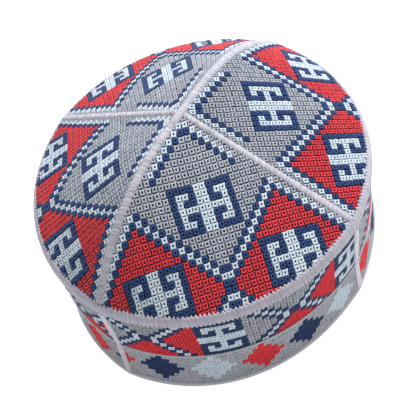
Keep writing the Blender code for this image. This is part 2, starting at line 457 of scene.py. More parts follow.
def hem_stitch(column, row):
    """Colour of a stitch of the hem: stepped diamonds in turn navy, white and red."""
    number = round((column - DIAMOND_COLUMN) / DIAMOND_REPEAT)
    if abs(column - DIAMOND_COLUMN - DIAMOND_REPEAT * number) + abs(row - DIAMOND_ROW) <= DIAMOND_STEPS:
        return "BWR"[number % 3]
    return "g"


# Materials. Every point of a yarn carries three numbers: two places on its thread, and its tone, which holds
# random differences and painted shade.

MARK = "stitch"
GLOSS, SHEEN_ROUGHNESS = 0.12, 0.5

# A wave of scale 1 has 20 / (2 pi) bands a unit, so one step of fineness is about half a band a millimetre.
FINENESS_SCALE = 1000 / 6.28


class Shading:
    """A new material, with short ways to add nodes to it. Bump distances are in metres."""

    def __init__(self, name):
        self.material = bpy.data.materials.new(name)
        self.material.use_nodes = True
        self.nodes, self.links = self.material.node_tree.nodes, self.material.node_tree.links
        self.shader = self.nodes["Principled BSDF"]

    def fill(self, node, values):
        """Sets a node's inputs to constants, or links them to other nodes' outputs."""
        for name, value in values.items():
            if isinstance(value, bpy.types.NodeSocket):
                self.links.new(value, node.inputs[name])
            else:
                node.inputs[name].default_value = value

    def add(self, kind, values):
        node = self.nodes.new("ShaderNode" + kind)
        self.fill(node, values)
        return node

    def math(self, operation, *values, clamp=False):
        node = self.add("Math", {})
        node.operation = operation
        node.use_clamp = clamp
        self.fill(node, dict(enumerate(values)))
        return node.outputs[0]

    def noise(self, vector, scale, detail, roughness):
        values = {"Vector": vector, "Scale": scale, "Detail": detail, "Roughness": roughness}
        return self.add("TexNoise", values).outputs["Fac"]

    def place(self):
        return self.add("TexCoord", {}).outputs["Object"]

    def mark(self):
        """The three numbers of a yarn's point."""
        mark = self.add("Attribute", {})
        mark.attribute_name = MARK
        return self.add("SeparateXYZ", {"Vector": mark.outputs["Vector"]}).outputs

    def mix(self, tone, *patterns):
        """The tone with patterns from 0 to 1 added, each by its share, so that its mean stays."""
        for pattern, share in patterns:
            tone = self.math("MULTIPLY_ADD", pattern, share, tone)
        return self.math("SUBTRACT", tone, sum(share for _, share in patterns) / 2, clamp=True)

    def colour(self, tone, tones):
        """Base colour: tones are the darkest and the lightest one."""
        ramp = self.add("ValToRGB", {"Fac": tone})
        for element, colour in zip(ramp.color_ramp.elements, tones):
            element.color = (*colour, 1.0)
        self.fill(self.shader, {"Base Color": ramp.outputs["Color"]})

    def finish(self, height, strength, distance, roughness, sheen=0.0):
        bump = self.add("Bump", {"Height": height, "Strength": strength, "Distance": distance})
        values = {"Normal": bump.outputs["Normal"], "Roughness": roughness, "Specular IOR Level": GLOSS}
        self.fill(self.shader, {**values, "Sheen Weight": sheen, "Sheen Roughness": SHEEN_ROUGHNESS})
        return self.material


# Shares that strands, weave and clouds have in tone or height, and how fibres are drawn out across a seam.
STRAND_TONE, STRAND_HEIGHT = 0.10, 0.6
WEAVE_TONE, CLOUD_TONE = 0.22, 0.5
FIBRE_DRAW = 0.5


def knot_yarn(name, tones, threads=18, sheen=0.0, speckle=0.35, grain=1500.0):
    """Thread wound round a stitch's hole: its strands run outwards from the middle of each stitch."""
    shading = Shading(name)
    place = shading.place()
    across, down, tone = shading.mark()
    turn = shading.math("ARCTAN2", down, across)
    strands = shading.math("SINE", shading.math("MULTIPLY", turn, threads))
    fuzz = shading.noise(place, scale=grain, detail=3.0, roughness=0.6)
    patch = shading.noise(place, scale=60.0, detail=2.0, roughness=0.5)
    tone = shading.math("MULTIPLY_ADD", strands, STRAND_TONE, tone)
    shading.colour(shading.mix(tone, (fuzz, speckle), (patch, 0.12)), tones)
    height = shading.math("MULTIPLY_ADD", strands, STRAND_HEIGHT, fuzz)
    return shading.finish(height, strength=0.5, distance=0.00012, roughness=0.62, sheen=sheen)


def satin_yarn(name, tones, roughness=0.48):
    """Thread laid side by side: each strand's fibres run across the seam."""
    shading = Shading(name)
    place = shading.place()
    across, along, tone = shading.mark()
    drawn_out = shading.add("CombineXYZ", {"X": shading.math("MULTIPLY", across, FIBRE_DRAW), "Y": along})
    fibres = shading.noise(drawn_out.outputs["Vector"], scale=9.0, detail=3.0, roughness=0.65)
    patch = shading.noise(place, scale=90.0, detail=2.0, roughness=0.5)
    shading.colour(shading.mix(tone, (fibres, 0.45), (patch, 0.25)), tones)
    return shading.finish(fibres, strength=0.5, distance=0.00015, roughness=roughness)


def woven_cloth(name, tones, fineness=2.2):
    """Plain weave: sets of fine bands across each other."""
    shading = Shading(name)
    place = shading.place()
    bands = []
    for direction in "XYZ":
        scale = fineness * FINENESS_SCALE
        wave = shading.add("TexWave", {"Vector": place, "Scale": scale, "Distortion": 1.5, "Detail": 1.0})
        wave.bands_direction = direction
        bands.append(wave.outputs["Fac"])
    weave = shading.math("ADD", bands[0], bands[1])
    weave = shading.math("ADD", weave, bands[2])
    clouds = shading.noise(place, scale=70.0, detail=3.0, roughness=0.6)
    clouds = shading.math("MULTIPLY", clouds, CLOUD_TONE)
    shading.colour(shading.math("MULTIPLY_ADD", weave, WEAVE_TONE, clouds), tones)
    return shading.finish(weave, strength=0.4, distance=0.0001, roughness=0.9, sheen=0.1)


# Each yarn's darkest tone is the colour of the painted shade at the feet of its stitches.
GREY_TONES = (0.022, 0.054, 0.092), (0.550, 0.550, 0.610)
WHITE_TONES = (0.050, 0.140, 0.220), (0.77, 0.80, 0.84)
NAVY_TONES = (0.001, 0.003, 0.014), (0.018, 0.055, 0.180)
RED_TONES = (0.040, 0.002, 0.003), (0.92, 0.052, 0.074)
# The side's yarns are darker copies of the crown's, which paints shade on the wall and hem. The side grey is
# also more speckled.
SIDE_SHADED_GREY_TONES = (0.014, 0.034, 0.056), (0.475, 0.475, 0.515)
SIDE_SHADED_WHITE_TONES = (0.040, 0.120, 0.190), (0.70, 0.74, 0.78)
SIDE_SHADED_NAVY_TONES = (0.001, 0.003, 0.014), (0.004, 0.028, 0.112)
SIDE_SHADED_RED_TONES = (0.030, 0.001, 0.002), (0.86, 0.034, 0.048)
YARNS = [
    knot_yarn("grey_yarn", GREY_TONES, sheen=0.12),
    knot_yarn("white_yarn", WHITE_TONES, sheen=0.12),
    knot_yarn("navy_yarn", NAVY_TONES, threads=14, sheen=0.10),
    knot_yarn("red_yarn", RED_TONES, sheen=0.12),
]
SIDE_YARNS = [
    knot_yarn("side_grey_yarn", SIDE_SHADED_GREY_TONES, speckle=1.0, grain=1150.0),
    knot_yarn("side_white_yarn", SIDE_SHADED_WHITE_TONES),
    knot_yarn("side_navy_yarn", SIDE_SHADED_NAVY_TONES, threads=14),
    knot_yarn("side_red_yarn", SIDE_SHADED_RED_TONES),
]
YARN_OF = {"g": 0, "W": 1, "B": 2, "R": 3}
# Each hole shows the dark backing cloth, with painted shade tinted after the yarn round it.
SHADED_HOLES = [
    woven_cloth("grey_hole", ((0.004, 0.010, 0.016), (0.014, 0.026, 0.034))),
    woven_cloth("white_hole", ((0.008, 0.040, 0.060), (0.024, 0.085, 0.115))),
    woven_cloth("navy_hole", ((0.001, 0.003, 0.012), (0.005, 0.010, 0.030))),
    woven_cloth("red_hole", ((0.014, 0.002, 0.003), (0.045, 0.005, 0.006))),
]
# The cloth between the stitches is dark: partly its own colour, partly painted shade in the gaps.
GROUND = woven_cloth("ground_cloth", ((0.006, 0.018, 0.030), (0.020, 0.042, 0.062)))
LINING = woven_cloth("lining_cloth", ((0.52, 0.51, 0.49), (0.76, 0.75, 0.72)), fineness=1.6)
SATIN = satin_yarn("seam_satin_yarn", ((0.21, 0.21, 0.25), (0.54, 0.53, 0.59)))
# The side cords' satin is a lighter copy of the seam satin: painted light.
LIT_SIDE_SATIN = satin_yarn("side_satin_yarn", ((0.29, 0.29, 0.33), (0.62, 0.61, 0.67)))
BAND_SATIN = satin_yarn("band_satin_yarn", ((0.20, 0.19, 0.235), (0.465, 0.45, 0.515)))
PIPING_SATIN = satin_yarn("piping_yarn", ((0.27, 0.27, 0.29), (0.50, 0.49, 0.53)))
BINDING = satin_yarn("binding_yarn", ((0.26, 0.26, 0.30), (0.56, 0.55, 0.60)), roughness=0.7)

# Slots of a stitched piece: a yarn and a hole for each colour, then the cloth under them and its lining.
STITCHED = [*YARNS, *SHADED_HOLES, GROUND, LINING]
SIDE_STITCHED = [*SIDE_YARNS, *SHADED_HOLES, GROUND, LINING]
GROUND_SLOT, LINING_SLOT = len(STITCHED) - 2, len(STITCHED) - 1


# Building


class Piece:
    """Collects points and faces of one piece, and writes them to one mesh."""

    def __init__(self, name, materials):
        self.name, self.materials = name, materials
        self.points, self.marks, self.faces, self.slots = [], [], [], []
        self.count = 0

    def add(self, points, marks, faces, slots):
        """faces is a list of arrays of faces, and slots has one material slot for each array."""
        points = np.asarray(points, float).reshape(-1, 3)
        self.points.append(points)
        self.marks.append(np.broadcast_to(np.asarray(marks, float).reshape(-1, 3), points.shape))
        for face_set, slot in zip(faces, slots):
            self.faces.extend((face_set + self.count).tolist())
            self.slots.append(np.full(len(face_set), slot))
        self.count += len(points)

    def build(self, node):
        mesh = bpy.data.meshes.new(self.name)
        mesh.from_pydata((np.concatenate(self.points) * MM).tolist(), [], self.faces)
        for material in self.materials:
            mesh.materials.append(material)
        mesh.polygons.foreach_set("material_index", np.concatenate(self.slots).astype(np.int32))
        mesh.polygons.foreach_set("use_smooth", np.ones(len(mesh.polygons), dtype=bool))
        marks = mesh.attributes.new(MARK, "FLOAT_VECTOR", "POINT")
        marks.data.foreach_set("vector", np.concatenate(self.marks).astype(np.float32).ravel())
        mesh.update()
        piece = bpy.data.objects.new(self.name, mesh)
        bpy.context.scene.collection.objects.link(piece)
        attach(piece, "root")
        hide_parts(node)


def grid_faces(rows, columns, closed=False):
    """Quads of a grid whose points run along its columns first. Closed, its last column meets its first."""
    i, j = np.meshgrid(np.arange(rows - 1), np.arange(columns if closed else columns - 1), indexing="ij")
    i, j = i.ravel(), j.ravel()
    right = (j + 1) % columns
    here, below = i * columns, (i + 1) * columns
    return np.stack([here + j, here + right, below + right, below + j], 1)


# Height of the cloth's outer face in millimetres over the surface that the stitches stand on, and the step
# over which its normals are measured.
CLOTH_FACE = -0.62
CLOTH_STEP = 1e-3


def cloth_shell(piece, place, columns, rows):
    """Closed sheet of cloth under a patch's stitches, which never reaches below the ground."""
    across, down = np.meshgrid(columns, rows)
    points, normals = with_normals(place, across, down, CLOTH_STEP)
    outer = (points + normals * CLOTH_FACE).reshape(-1, 3)
    inner = (points - normals * CLOTH).reshape(-1, 3)
    inner[:, 2] = np.maximum(inner[:, 2], 0.0)
    count = len(outer)
    order = np.arange(count).reshape(across.shape)
    edge = np.concatenate([order[0], order[1:, -1], order[-1, -2::-1], order[-2:0:-1, 0]])
    following = np.roll(edge, -1)
    sheet = grid_faces(*across.shape)
    rim = np.stack([edge, following, following + count, edge + count], 1)
    piece.add(
        np.concatenate([outer, inner]),
        [[0.0, 0.0, MIDDLE_TONE]],
        [sheet[:, ::-1], sheet + count, rim],
        [GROUND_SLOT, LINING_SLOT, GROUND_SLOT],
    )


def star_stitch(lean, *rings):
    """Raised stitch round a hole: closed rings from its foot, over its crest, down to the bottom of the hole.

    Each ring is given by the places of its sides (wide, tall), half the length of a side's straight middle,
    the place of its corners, all as shares of the pitch, and its height in millimetres over the cloth.
    Stitches meet at their corners and leave slits between their sides, and lean slants them."""
    shape = []
    for wide, tall, middle, corner, height in rings:
        quarter = [(wide, -middle), (corner, -corner), (middle, -tall)]
        ring = quarter + [(-across, down) for across, down in quarter[::-1]]
        ring += [(-across, -down) for across, down in ring]
        ring = np.array(ring)
        shape.append(np.stack([ring[:, 0] - lean * ring[:, 1], ring[:, 1], np.full(len(ring), height)], -1))
    return np.array(shape)


# Crown stitches stand high and open, and navy ones are round knots. Side stitches lie flat and close.
CROWN_STITCHES = {
    "g": star_stitch(
        0.10,
        (0.38, 0.39, 0.15, 0.46, -0.90),
        (0.43, 0.43, 0.19, 0.52, -0.10),
        (0.31, 0.31, 0.14, 0.33, 0.34),
        (0.16, 0.17, 0.08, 0.15, 0.20),
        (0.12, 0.13, 0.06, 0.11, -0.60),
    ),
    "W": star_stitch(
        0.10,
        (0.39, 0.41, 0.16, 0.47, -0.90),
        (0.45, 0.46, 0.21, 0.53, 0.00),
        (0.32, 0.33, 0.15, 0.36, 0.38),
        (0.15, 0.16, 0.07, 0.14, 0.24),
        (0.11, 0.12, 0.05, 0.10, -0.60),
    ),
    "B": star_stitch(
        0.06,
        (0.44, 0.47, 0.24, 0.40, -0.90),
        (0.49, 0.52, 0.26, 0.44, -0.25),
        (0.34, 0.36, 0.18, 0.31, 0.66),
        (0.15, 0.15, 0.07, 0.13, 0.46),
        (0.10, 0.10, 0.05, 0.09, -0.20),
    ),
    "R": star_stitch(
        0.10,
        (0.36, 0.38, 0.14, 0.46, -0.90),
        (0.42, 0.43, 0.19, 0.52, -0.08),
        (0.31, 0.31, 0.14, 0.33, 0.38),
        (0.15, 0.16, 0.08, 0.14, 0.20),
        (0.11, 0.12, 0.06, 0.10, -0.60),
    ),
}
SIDE_STITCHES = {
    "g": star_stitch(
        0.20,
        (0.40, 0.50, 0.24, 0.46, -0.6),
        (0.43, 0.52, 0.26, 0.51, -0.08),
        (0.28, 0.38, 0.16, 0.36, 0.22),
        (0.10, 0.17, 0.07, 0.12, -0.40),
    ),
    "W": star_stitch(
        0.20,
        (0.45, 0.50, 0.25, 0.48, -0.6),
        (0.48, 0.52, 0.27, 0.53, 0.00),
        (0.30, 0.38, 0.17, 0.38, 0.24),
        (0.06, 0.10, 0.04, 0.07, -0.30),
    ),
    "B": star_stitch(
        0.20,
        (0.50, 0.51, 0.26, 0.48, -0.6),
        (0.52, 0.53, 0.28, 0.51, 0.04),
        (0.34, 0.38, 0.20, 0.36, 0.30),
        (0.08, 0.11, 0.05, 0.09, -0.10),
    ),
    "R": star_stitch(
        0.20,
        (0.42, 0.50, 0.24, 0.47, -0.6),
        (0.45, 0.52, 0.26, 0.52, -0.05),
        (0.29, 0.38, 0.16, 0.36, 0.24),
        (0.10, 0.16, 0.06, 0.11, -0.35),
    ),
}
HEM_KNOT = star_stitch(
    0.20,
    (0.46, 0.51, 0.26, 0.49, -0.6),
    (0.50, 0.53, 0.29, 0.54, 0.00),
    (0.30, 0.36, 0.17, 0.36, 0.20),
    (0.05, 0.08, 0.03, 0.06, -0.15),
)
HEM_STITCHES = {yarn: HEM_KNOT for yarn in "gWBR"}

# How much stitches differ: in size, turn and slant, then in height (mm), place (share of the pitch) and tone.
SIZE_VARIES, TURN_VARIES, SLANT_VARIES = 0.02, 0.05, 0.05
LIFT_VARIES, PLACE_VARIES, TONE_VARIES = 0.045, 0.018, 0.03

# Painted shade: a stitch is darker toward its foot. The numbers are the middle tone, the change for each
# millimetre, and the heights in millimetres that have the middle tone. STITCH_STEP is how far from its middle
# the cloth's slope is measured.
MIDDLE_TONE, DEEP_SHADE = 0.5, 0.55
CROWN_CREST, SIDE_CREST = 0.30, 0.05
STITCH_STEP = 0.45


def add_stitches(piece, place, cells, shapes, crest, sunk=0.0):
    """cells are (column, row, colour) of each stitch's middle. sunk is how deep it is pressed."""
    columns, rows, colours = zip(*cells)
    columns, rows = np.array(columns, float), np.array(rows, float)
    shape = np.array([shapes[colour] for colour in colours])
    count, rings, sides, _ = shape.shape
    loose = uneven(count, 7)[:, :, None, None]
    size = 1 + SIZE_VARIES * loose[:, 0]
    angle = TURN_VARIES * loose[:, 1]
    across, down = shape[..., 0] * size, shape[..., 1] * size
    turned = across * np.cos(angle) - down * np.sin(angle) + SLANT_VARIES * loose[:, 6] * down
    down = across * np.sin(angle) + down * np.cos(angle)
    lift = shape[..., 2] + LIFT_VARIES * loose[:, 2] - np.reshape(sunk, (-1, 1, 1))
    turned = turned + PLACE_VARIES * loose[:, 3]
    down = down + PLACE_VARIES * loose[:, 4]
    points = place(columns[:, None, None] + turned, rows[:, None, None] + down)
    _, normals = with_normals(place, columns, rows, STITCH_STEP)
    points = points + normals[:, None, None] * lift[..., None]
    # Painted shade: each ring is darker the lower it lies below the crest.
    tone = MIDDLE_TONE + TONE_VARIES * loose[:, 5] + DEEP_SHADE * (shape[..., 2] - crest)
    marks = np.stack([shape[..., 0], shape[..., 1], tone], -1)

    first = (np.arange(count) * rings * sides)[:, None, None]
    walls = grid_faces(rings, sides, closed=True)
    foot = np.arange(sides)[::-1]
    hole = (rings - 1) * sides + np.arange(sides)
    yarn = np.array([YARN_OF[colour] for colour in colours])
    face_sets, slots = [], []
    for slot in range(len(YARNS)):
        chosen = first[yarn == slot]
        if len(chosen):
            face_sets += [(chosen + walls).reshape(-1, 4), (chosen + foot)[:, 0], (chosen + hole)[:, 0]]
            slots += [slot, slot, len(YARNS) + slot]
    piece.add(points, marks, face_sets, slots)


# Crown stitches are set more than UNDER_CORD millimetres from the seam. SEAM_TO_MIDDLE is the width of half a
# panel at the rim. Past the share BAND_START of the way down they are pressed down under the rim band.
SEAM_TO_MIDDLE, UNDER_CORD = 70.0, 0.2
BAND_START, UNDER_BAND = 0.98, 0.15

# Points of the cloth under the stitches, across and down. The crown's starts a little below the top.
CROWN_CLOTH_POINTS, SIDE_CLOTH_POINTS = (33, 56), (43, 12)
CROWN_CLOTH_TOP = 0.012


def crown_panel(name):
    patch = CrownPatch(name)
    piece = Piece("crown_stitches_" + name, STITCHED)
    wide, tall = CROWN_CLOTH_POINTS
    cloth_shell(piece, patch.at, np.linspace(-1, 1, wide), np.linspace(CROWN_CLOTH_TOP, 1, tall))
    cells, sunk = [], []
    for row in CROWN_ROWS:
        for column in CROWN_COLUMNS:
            turn, down = patch.lay(column + 0.5, row)
            if down < 1 and (1 - abs(turn)) * down * SEAM_TO_MIDDLE > UNDER_CORD:
                cells.append((column + 0.5, row, crown_stitch(column, row)))
                sunk.append(UNDER_BAND if down > BAND_START else 0.0)
    add_stitches(piece, patch.place, cells, CROWN_STITCHES, CROWN_CREST, sunk)
    piece.build("crown_panel_" + name)


def side_piece(kind, name, layout, chart, shapes):
    """Dresses one quarter of the wall (kind side) or of the hem (kind hem)."""
    patch = SidePatch(name, layout)
    piece = Piece(kind + "_stitches_" + name, SIDE_STITCHED)
    wide, tall = SIDE_CLOTH_POINTS
    cloth_shell(piece, patch.at, np.linspace(0, 1, wide), np.linspace(layout["cloth_top"], 1, tall))
    add_stitches(piece, patch.place, patch.cells(chart), shapes, SIDE_CREST)
    piece.build(kind + "_panel_" + name)


def sweep(name, material, rings, marks, node, joined=False):
    """Builds a piece that is one tube through rings of points. Joined, its last ring meets its first."""
    count, sides, _ = rings.shape
    around = np.arange(sides)
    last = (count - 1) * sides
    faces = [grid_faces(count, sides, closed=True)]
    if joined:
        following = (around + 1) % sides
        faces.append(np.stack([last + around, last + following, following, around], 1))
    else:
        faces += [around[None, ::-1], last + around[None]]
    piece = Piece(name, [material])
    piece.add(rings, np.stack(np.broadcast_arrays(*marks), -1), faces, [0] * len(faces))
    piece.build(node)


# Satin stitched seams. Lengths are in millimetres.

SATIN_PITCH = 0.86
STRIP_POINTS = 9
PATTERN_PER_MM = 2.0

# A cord's foot lies this deep and is this share as wide as the cord. Its threads slant forward on one side.
SEAM_DEPTH, SEAM_FOOT = 1.6, 0.75
SEAM_SLANT, SIDE_SEAM_SLANT = 0.45, -0.3

# Threads differ in length and height, and in the valley between two the cord is narrower, lower and darker,
# with painted shade.
SEAM_FRAY, SEAM_LIFT_VARIES = 0.20, 0.08
VALLEY_WIDTH, VALLEY_LIFT = -0.16, -0.20
SEAM_TONE, SEAM_TONE_VARIES, VALLEY_SHADE = 0.58, 0.11, -0.34

# Powers that shape the cord's dome and the cloth's fall beside it, and how deep the edges are tucked in.
DOME_SHAPE, FALL_SHAPE, EDGE_TUCK = 2.6, 1.7, 0.12

# Half the width of each cord at its narrowest and what is added toward its ends, and its middle's height.
RIDGE_WIDTH, CROSS_WIDTH, SIDE_WIDTH = (2.35, 0.30), (1.75, 0.25), (2.0, 0.35)
RIDGE_LIFT, CROSS_LIFT, SIDE_LIFT = 1.0, 0.85, 0.85

# The crown's fall is measured this far beside its seams. The side's fall is the same all the way down.
BESIDE_RIDGE, BESIDE_CROSS, SIDE_FALL = (2.3, 0.0), (0.0, 1.9), 0.15

# The cords end a little inside the rim, and the cross cords start beside the ridge.
END_GAP, CROSS_START = 0.6, 2.2
RIDGE_RADIUS, CROSS_RADIUS = 93, 92
RIDGE_POINTS, CROSS_POINTS, SIDE_POINTS = 241, 121, 60
SIDE_CORD_FOOT, SIDE_CORD_TOP = 0.085, 1.99


def even_steps(points, spacing):
    """The same path with its points a set distance apart, and how far along it each of them lies."""
    along = np.concatenate([[0], np.cumsum(np.linalg.norm(np.diff(points, axis=0), axis=1))])
    count = max(4, int(round(along[-1] / spacing)))
    wanted = np.linspace(0, along[-1], count + 1)
    return np.stack([np.interp(wanted, along, points[:, k]) for k in range(3)], -1), wanted


def satin_seam(name, node, path, up, half_width, lift, fall, slant=SEAM_SLANT, material=SATIN):
    """Cord of laid threads over a seam. Every second ring is a thread's crest, and a valley lies between.

    up gives the outward direction at each point, and lift is the height of the middle over the cloth.
    half_width and fall are functions of the share of the length: fall is how far the cloth falls away at
    the edges."""
    path, along = even_steps(path, SATIN_PITCH / 2)
    share = along / along[-1]
    ahead = unit(np.gradient(path, axis=0))
    side = unit(np.cross(ahead, up(path)))
    outward = unit(np.cross(side, ahead))
    crest = np.arange(len(path))[:, None] % 2
    valley = 1 - crest
    loose = np.repeat(uneven(len(path) // 2 + 1, 4), 2, axis=0)[: len(path)]
    across = np.cos(np.linspace(math.pi, 0, STRIP_POINTS))
    half = half_width(share)[:, None]
    fray = np.where(across < 0, loose[:, :1], loose[:, 1:2]) * SEAM_FRAY * crest
    width = fray + half + VALLEY_WIDTH * valley
    height = lift + SEAM_LIFT_VARIES * loose[:, 2:3] + VALLEY_LIFT * valley
    dome = np.sqrt(np.clip(1 - np.abs(across) ** DOME_SHAPE, 0, 1))
    rise = height * dome - (fall(share)[:, None] + EDGE_TUCK) * np.abs(across) ** FALL_SHAPE
    top = (
        path[:, None]
        + side[:, None] * (across * width)[..., None]
        + outward[:, None] * rise[..., None]
        + ahead[:, None] * (slant * across)[:, None]
    )
    feet = [
        path + side * (SEAM_FOOT * sign * half) - outward * SEAM_DEPTH + ahead * slant * sign * SEAM_FOOT
        for sign in (1, -1)
    ]
    # Painted shade in the valleys between threads.
    tone = np.clip(SEAM_TONE + SEAM_TONE_VARIES * loose[:, 3:4] + VALLEY_SHADE * valley, 0, 1)
    marks = np.array([*across, 1.0, -1.0]), along[:, None] * PATTERN_PER_MM, tone
    sweep(name, material, np.concatenate([top, np.stack(feet, 1)], 1), marks, node)


def straight_up(points):
    return np.broadcast_to([0.0, 0.0, 1.0], points.shape)


def away_from_axis(points):
    return unit(points * [1.0, 1.0, 0.0])


def crown_fall(path, sideways):
    """How far the crown's cloth lies below a seam at a set distance on either side of it."""
    falls = []
    for sign in (1, -1):
        beside = crown_over(path[:, 0] + sign * sideways[0], path[:, 1] + sign * sideways[1])
        falls.append(path[:, 2] - beside[:, 2])
    fall = np.maximum(np.mean(falls, 0), 0)
    share = np.linspace(0, 1, len(path))
    return lambda wanted: np.interp(wanted, share, fall)


def crown_seams():
    reach = np.linspace(-1, 1, RIDGE_POINTS) * (1 - END_GAP / RIDGE_RADIUS)
    path = crown_point(np.where(reach < 0, -QUARTER, QUARTER), np.abs(reach))
    satin_seam(
        "ridge_satin",
        "ridge_seam_cord",
        path,
        straight_up,
        lambda share: RIDGE_WIDTH[0] + RIDGE_WIDTH[1] * np.abs(2 * share - 1) ** 2,
        RIDGE_LIFT,
        crown_fall(path, BESIDE_RIDGE),
    )
    for side in ("right", "left"):
        reach = np.linspace(CROSS_START / CROSS_RADIUS, 1 - END_GAP / CROSS_RADIUS, CROSS_POINTS)
        path = crown_point(np.full_like(reach, math.radians(SEAMS[side])), reach)
        satin_seam(
            "cross_satin_" + side,
            "cross_seam_cord_" + side,
            path,
            straight_up,
            lambda share: CROSS_WIDTH[0] + CROSS_WIDTH[1] * share,
            CROSS_LIFT,
            crown_fall(path, BESIDE_CROSS),
        )


def side_seams():
    for side, degrees in SEAMS.items():
        satin_seam(
            "side_satin_" + side,
            "side_seam_cord_" + side,
            wall_point(math.radians(degrees), np.linspace(SIDE_CORD_FOOT, SIDE_CORD_TOP, SIDE_POINTS)),
            away_from_axis,
            lambda share: SIDE_WIDTH[0] + SIDE_WIDTH[1] * share,
            SIDE_LIFT,
            lambda share: np.full_like(share, SIDE_FALL),
            SIDE_SEAM_SLANT,
            LIT_SIDE_SATIN,
        )


# Rim band. Lengths are in millimetres.

TEETH = 268
THREADS_PER_TOOTH = 5
BAND_POINTS = 10
BAND_HEIGHT = 5.7
CROWN_MM_PER_REACH = 125.0
SIDE_RADIUS = 91

# How far the longest thread of a tooth reaches past the band's height, and how much shorter each next one is.
UPPER_TOOTH, LOWER_TOOTH, LOWER_TOOTH_SHIFT = (1.75, 0.75), (1.20, 0.60), 2
BAND_FRAY, BAND_VALLEY_LENGTH, BAND_LEAN = 0.12, -0.15, np.radians(0.12)

# The band swells over the rim, each thread is rounded at its ends, and its very ends dip into the cloth.
BAND_SWELL, SWELL_MARGIN = 0.60, 1
THREAD_LIFT, END_LENGTH, END_SHAPE, END_LIFT = 0.55, 0.9, 0.6, -0.25
BAND_VALLEY_LIFT, BAND_LIFT_VARIES = -0.10, 0.04
BAND_DEPTH, INNER_POINTS = 1.3, [7, 2]
# Valleys between the band's threads are darker: painted shade.
BAND_TONE, BAND_TONE_VARIES, BAND_VALLEY_SHADE = 0.56, 0.08, -0.16
END_TONE, END_TONE_SHAPE = 0.22, 6


def band_surface(angle, down):
    """The cloth across the rim: down is millimetres below the rim, and less than 0 on the crown."""
    on_crown = crown_point(angle, 1 + np.minimum(down, 0) / CROWN_MM_PER_REACH)
    share = np.clip(down / BAND_HEIGHT, 0, 1)
    below = np.maximum(down - BAND_HEIGHT, 0) / (LEVELS[WALL_TOP, 0] - LEVELS[PIPING, 0])
    on_wall = wall_point(angle, RIM - share - below)
    return np.where((down < 0)[..., None], on_crown, on_wall)


def rim_band():
    rings = TEETH * THREADS_PER_TOOTH * 2
    angle = 2 * math.pi * np.arange(rings)[:, None] / rings
    thread = np.arange(rings)[:, None] // 2
    valley = np.arange(rings)[:, None] % 2
    loose = uneven(rings // 2, 4)[thread[:, 0]]

    def tooth(longest, shorter, shift, varies):
        from_middle = np.abs((thread + shift) % THREADS_PER_TOOTH - THREADS_PER_TOOTH // 2)
        return longest - shorter * from_middle + BAND_FRAY * varies + BAND_VALLEY_LENGTH * valley

    above = tooth(*UPPER_TOOTH, 0, loose[:, :1])
    below = tooth(*LOWER_TOOTH, LOWER_TOOTH_SHIFT, loose[:, 1:2])
    share = np.linspace(0, 1, BAND_POINTS)
    down = -above + (BAND_HEIGHT + below + above) * share
    around = angle + BAND_LEAN * (share - 0.5)
    cloth = band_surface(around, down)
    sideways = np.stack([-np.sin(around), np.cos(around), 0 * around], -1)
    outward = unit(np.cross(np.gradient(cloth, axis=1), sideways))
    to_edge = np.minimum(down + above, BAND_HEIGHT + below - down)
    over = np.clip((down + SWELL_MARGIN) / (BAND_HEIGHT + 2 * SWELL_MARGIN), 0, 1)
    swell = BAND_SWELL * np.sin(math.pi * over)
    lift = THREAD_LIFT * np.clip(to_edge / END_LENGTH, 0, 1) ** END_SHAPE + swell
    lift = lift + BAND_VALLEY_LIFT * valley + BAND_LIFT_VARIES * loose[:, 2:3]
    lift[:, 0] = lift[:, -1] = END_LIFT
    top = cloth + outward * lift[..., None]
    inner = cloth[:, INNER_POINTS] - outward[:, INNER_POINTS] * BAND_DEPTH
    # Painted shade in the valleys between the band's threads.
    tone = np.clip(BAND_TONE + BAND_TONE_VARIES * loose[:, 3:4] + BAND_VALLEY_SHADE * valley, 0, 1)
    ends = END_TONE * np.abs(2 * share - 1) ** END_TONE_SHAPE
    tone = np.concatenate([tone + ends, np.repeat(tone, 2, 1)], 1)
    marks = np.array([*(2 * share - 1), 1.0, -1.0]), angle * SIDE_RADIUS * PATTERN_PER_MM, tone
    ring = np.concatenate([top, inner], 1)
    sweep("rim_satin", BAND_SATIN, ring, marks, "rim_band", joined=True)


# Piping and bound edge. Lengths are in millimetres.

# Rings of the piping and bound edge swell and shrink in turn; the tone follows, with painted shade on the
# narrow rings and painted light on the wide ones.
SWELL_VARIES, ROUND_TONE_VARIES, RIPPLE_SHADE = 0.02, 0.08, 2
PIPING_SIDES, PIPING_RADIUS, PIPING_OUT = 7, 0.60, 0.30
PIPING_GAP = math.radians(1.2)
PIPING_STEPS, PIPING_RIPPLE = 560, 0.06
EDGE_SECTION = [
    (0.55, 0.25),
    (0.62, 1.2),
    (0.35, 2.1),
    (-0.4, 2.5),
    (-1.6, 2.5),
    (-2.3, 2.0),
    (-2.35, 0.3),
    (-1.9, 0.0),
    (0.1, 0.0),
]
EDGE_STEPS, EDGE_RIPPLE = 1170, 0.012


